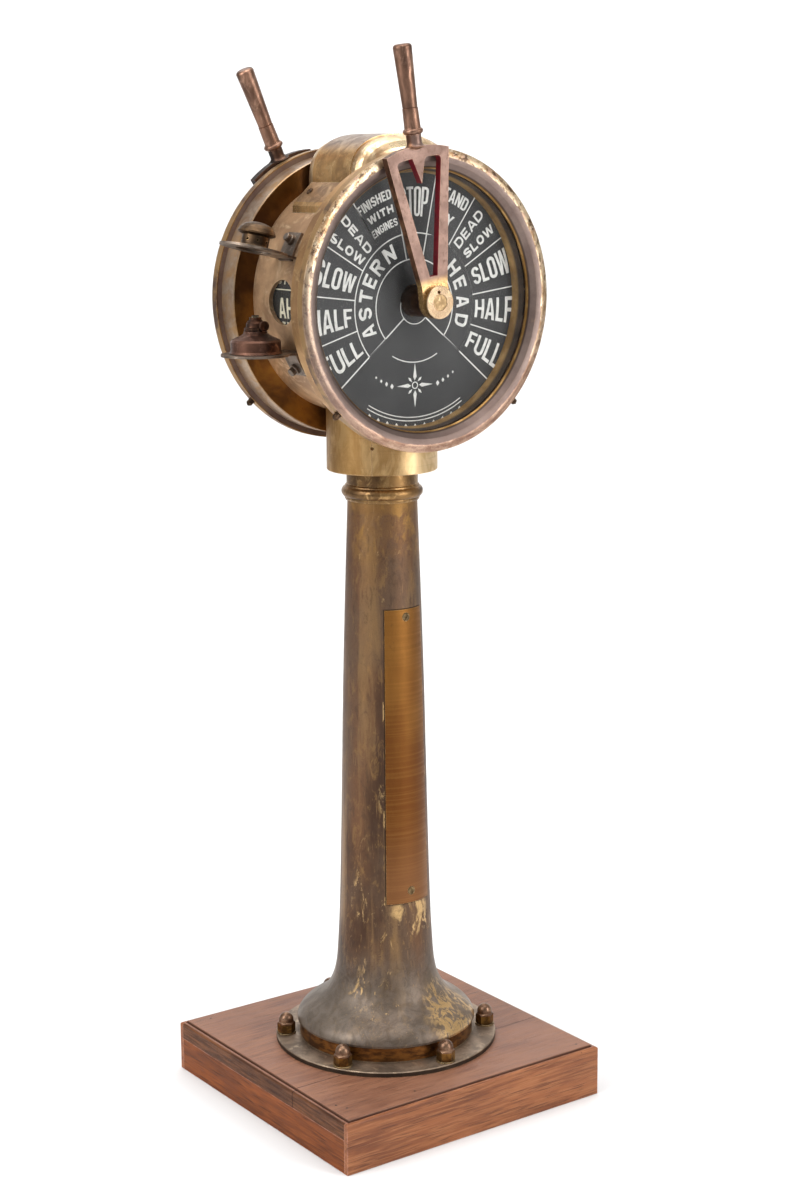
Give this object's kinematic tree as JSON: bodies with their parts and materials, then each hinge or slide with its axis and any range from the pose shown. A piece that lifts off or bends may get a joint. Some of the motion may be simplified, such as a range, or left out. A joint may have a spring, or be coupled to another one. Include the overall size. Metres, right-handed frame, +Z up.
{
  "type": "ship engine telegraph",
  "caption": "Pedestal engine order telegraph with a dial and swinging lever on each face, oil lamp brackets, a tapered brass column and a wooden plinth.",
  "frame": {"origin": "centre of the plinth's underside, on the column's axis, where the stand rests on the floor", "axes": "+Z up the column, -Y out of the front dial, +X to the right of a person facing the front dial"},
  "size_m": [0.391, 0.366, 1.2302],
  "materials": {
    "wood_top": "waxed hardwood, dull and pinkish on the worn top",
    "wood_side": "waxed hardwood, grain along the edge",
    "wood_rail": "plain hardwood",
    "column_brass": "brown patina with worn golden streaks",
    "door_brass": "warm orange brass, lightly tarnished",
    "flange_brass": "grey-olive patina",
    "nut_brass": "brown brass, handled bright on the domes",
    "collar_brass": "polished golden brown",
    "block_brass": "satin brass",
    "drum_brass": "light satin brass",
    "housing_brass": "satin wall, polished orange-brown end face",
    "bezel_brass": "worn gold with purple-brown patina",
    "hood_brass": "polished crown, satin strap",
    "lever_bronze": "rosy satin bronze, red paint inside the frame",
    "grip_bronze": "rosy brown, handled",
    "bracket_brass": "grey-brown patina",
    "lamp_copper": "tarnished copper",
    "cap_brass": "brown brass",
    "dial_enamel": "dark grey enamel with pale lettering",
    "order_enamel": "black enamel with pale lettering",
    "clear_glass": "clear window glass",
    "inner_brass": "machined brass",
    "steel": "bright steel",
    "screw_brass": "dark brass",
    "wick_cloth": "woven cotton wick"
  },
  "bodies": {
    "stand": {"plinth_front_board": "wood_top", "plinth_rear_board": "wood_top", "plinth_front_facing": "wood_side", "plinth_back_facing": "wood_side", "plinth_side_rails": "wood_side", "plinth_cross_rails": "wood_rail", "plinth_bearer": "wood_rail", "foot_flange": "flange_brass", "foot_studs": "screw_brass", "foot_washers": "nut_brass", "acorn_nuts": "nut_brass", "under_nuts": "steel", "column": "column_brass", "column_door": "door_brass", "door_screws": "screw_brass", "column_collar": "collar_brass", "socket_block": "block_brass", "drum": "drum_brass", "window_glass": "clear_glass", "hood": "hood_brass", "hood_strap": "hood_brass", "hood_screws": "screw_brass", "lamp_bracket_upper": "bracket_brass", "lamp_bracket_lower": "bracket_brass", "bracket_bosses": "bracket_brass", "chimney_cap": "cap_brass", "gong": "inner_brass", "gong_pillars": "steel", "front_housing": "housing_brass", "front_dial": "dial_enamel", "front_dial_spacer": "bezel_brass", "front_glass": "clear_glass", "front_bezel": "bezel_brass", "front_bezel_screws": "screw_brass", "front_boss": "bracket_brass", "front_bush": "inner_brass", "back_housing": "housing_brass", "back_dial": "dial_enamel", "back_dial_spacer": "bezel_brass", "back_glass": "clear_glass", "back_bezel": "bezel_brass", "back_bezel_screws": "screw_brass", "back_boss": "bracket_brass", "back_bush": "inner_brass"},
    "lever_front": {"front_lever": "lever_bronze", "front_grip_ferrule": "grip_bronze", "front_grip": "grip_bronze", "front_shaft": "inner_brass", "front_chain_wheel": "inner_brass"},
    "lever_back": {"back_lever": "lever_bronze", "back_grip_ferrule": "grip_bronze", "back_grip": "grip_bronze", "back_shaft": "inner_brass", "back_chain_wheel": "inner_brass", "order_drum": "order_enamel"},
    "lamp": {"lamp_reservoir": "lamp_copper", "lamp_burner": "lamp_copper", "lamp_wick": "wick_cloth"},
    "wick": {"wick_knob": "screw_brass"},
    "hammer": {"gong_hammer": "steel"}
  },
  "joints": [
    {"name": "front_lever_turn", "type": "hinge", "parent": "stand", "child": "lever_front", "pos_m": [0, -0.08, 0.954], "axis": [0, 1, 0], "range_deg": [-113.8, 131.6]},
    {"name": "back_lever_turn", "type": "hinge", "parent": "stand", "child": "lever_back", "pos_m": [0, 0.08, 0.954], "axis": [0, 1, 0], "range_deg": [-98.5, 146.9]},
    {"name": "lamp_slide", "type": "slide", "parent": "stand", "child": "lamp", "axis": [-1, 0, 0], "range_m": [0, 0.04]},
    {"name": "wick_turn", "type": "hinge", "parent": "lamp", "child": "wick", "pos_m": [-0.169, -0.015, 0.93085], "axis": [0, 1, 0], "continuous": true},
    {"name": "hammer_swing", "type": "hinge", "parent": "stand", "child": "hammer", "pos_m": [0.038, -0.049, 0.9], "axis": [0, 1, 0], "range_deg": [-5, 14], "stiffness_Nm_per_rad": 0.3}
  ]
}
